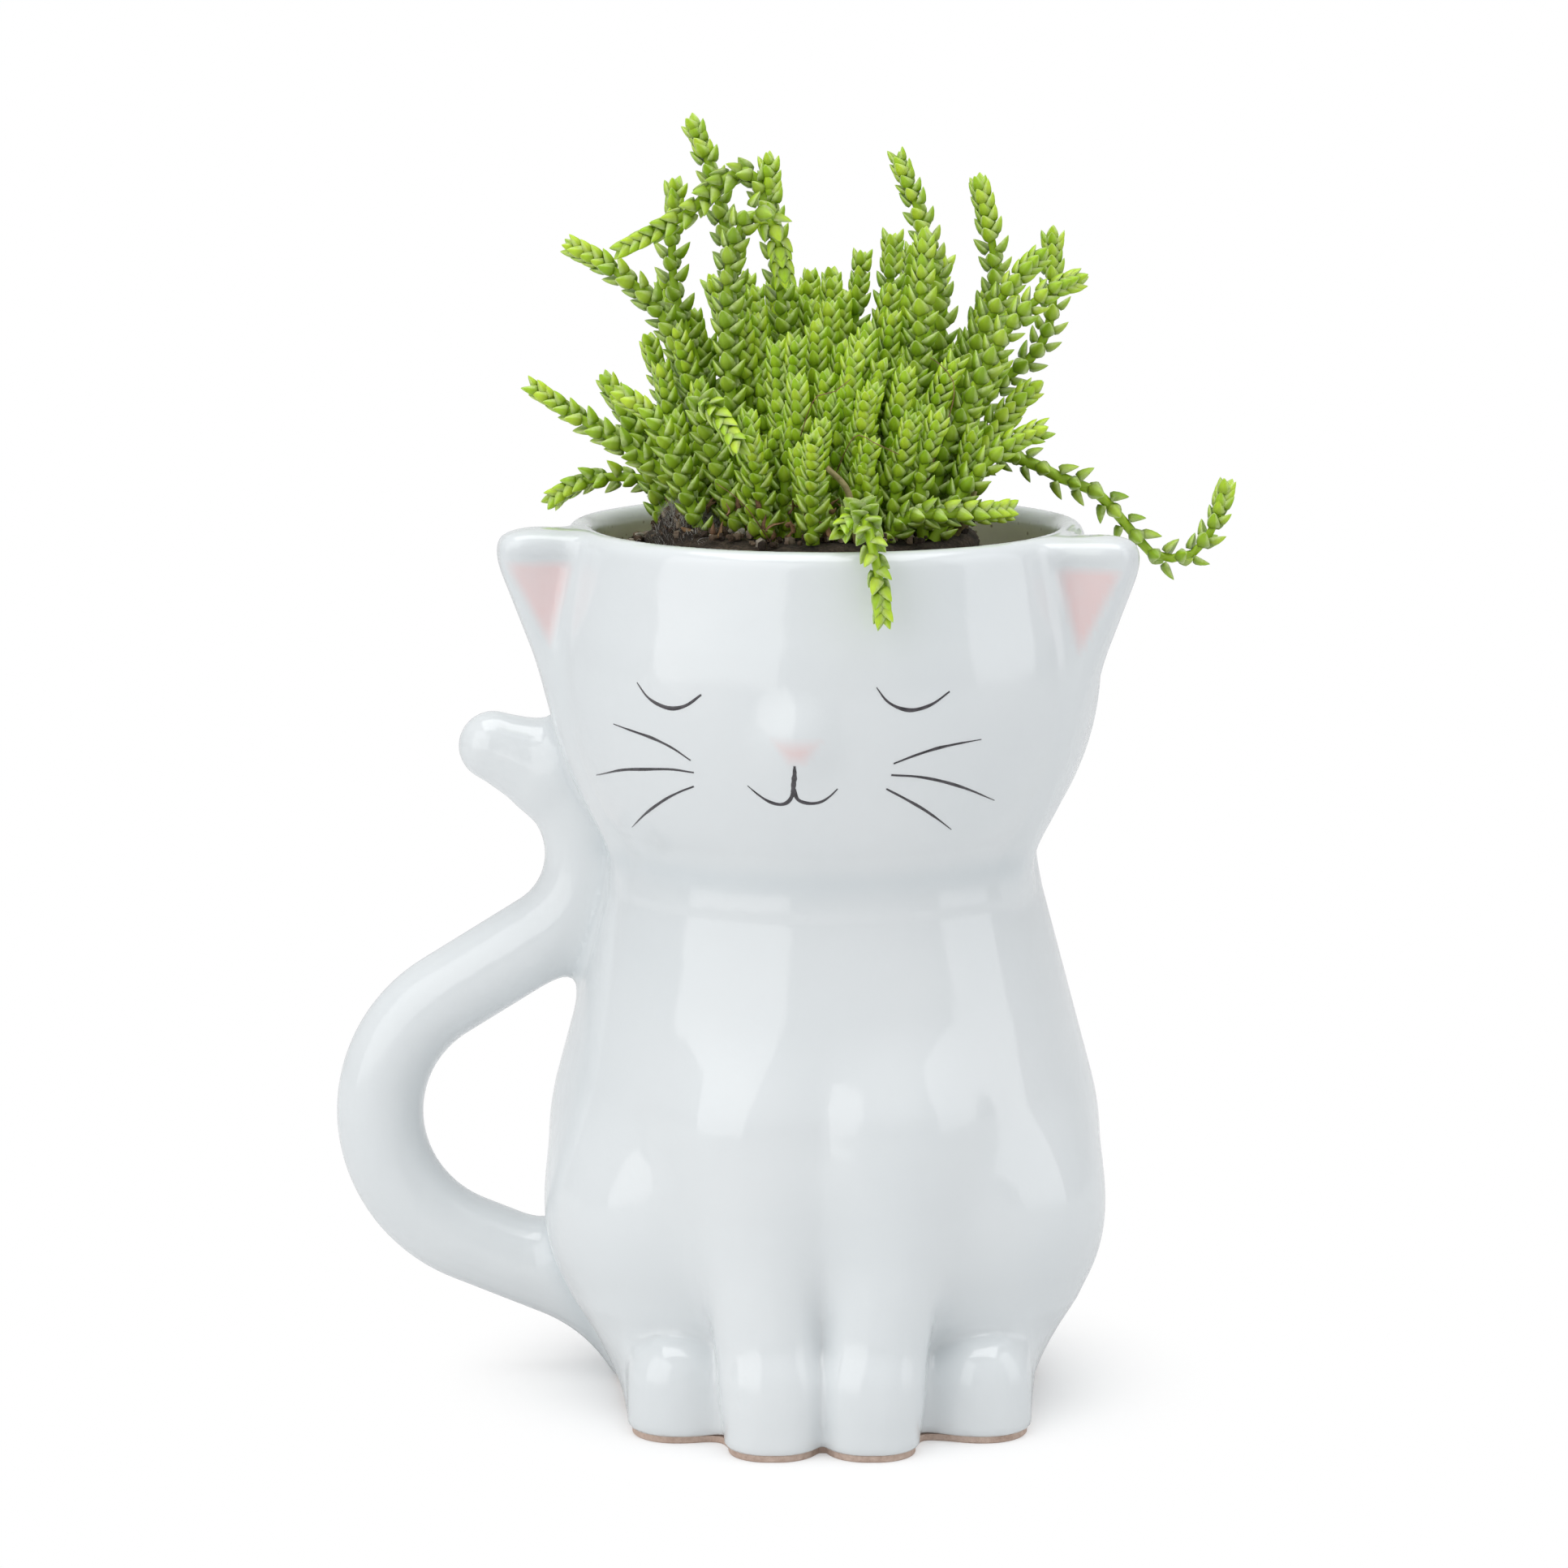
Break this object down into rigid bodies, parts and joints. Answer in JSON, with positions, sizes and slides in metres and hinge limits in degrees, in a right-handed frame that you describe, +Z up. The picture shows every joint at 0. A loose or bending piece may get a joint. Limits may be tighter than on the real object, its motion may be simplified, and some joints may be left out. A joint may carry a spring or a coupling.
{
  "type": "animal shaped planter",
  "caption": "Ceramic planter shaped like a sitting cat with a curled tail handle, holding a succulent with square leafy stems",
  "frame": {"origin": "on the table, under the centre of the head, on the underside of the cork pad", "axes": "+Z up, the cat faces -Y, its tail handle is on the -X side"},
  "size_m": [0.1352, 0.0909, 0.1913],
  "materials": {
    "glaze": "glossy, pale blue-grey white",
    "cork": "matt cork",
    "mix": "gritty potting mix",
    "peat": "dark fibrous peat",
    "leaf": "waxy fresh green leaves"
  },
  "bodies": {
    "pot": {"cat_pot": "glaze", "tail_handle": "glaze", "cork_foot_pad": "cork", "potting_mix": "mix"},
    "plant": {"root_plug": "peat", "arching_stem_high": "leaf", "arching_stem_low": "leaf", "crown_stems_back": "leaf", "crown_stems_front": "leaf", "crown_stems_left": "leaf", "crown_stems_middle": "leaf", "curled_stem": "leaf", "forked_stem": "leaf", "inner_stem_right": "leaf", "leaning_stem": "leaf", "outer_stem_left": "leaf", "outer_stem_right_long": "leaf", "outer_stem_right_middle": "leaf", "outer_stem_right_top": "leaf", "reclining_stem": "leaf", "short_stem_left": "leaf", "short_stem_right_lower": "leaf", "short_stem_right_upper": "leaf", "tall_stem_far_right": "leaf", "tall_stem_left": "leaf", "tall_stem_right": "leaf", "trailing_stem_front": "leaf", "trailing_stem_left": "leaf", "trailing_stem_right": "leaf", "upright_stem": "leaf"}
  },
  "joints": [
    {"name": "plant_lift", "type": "slide", "parent": "pot", "child": "plant", "axis": [0, 0, 1], "range_m": [0, 0.08]}
  ]
}
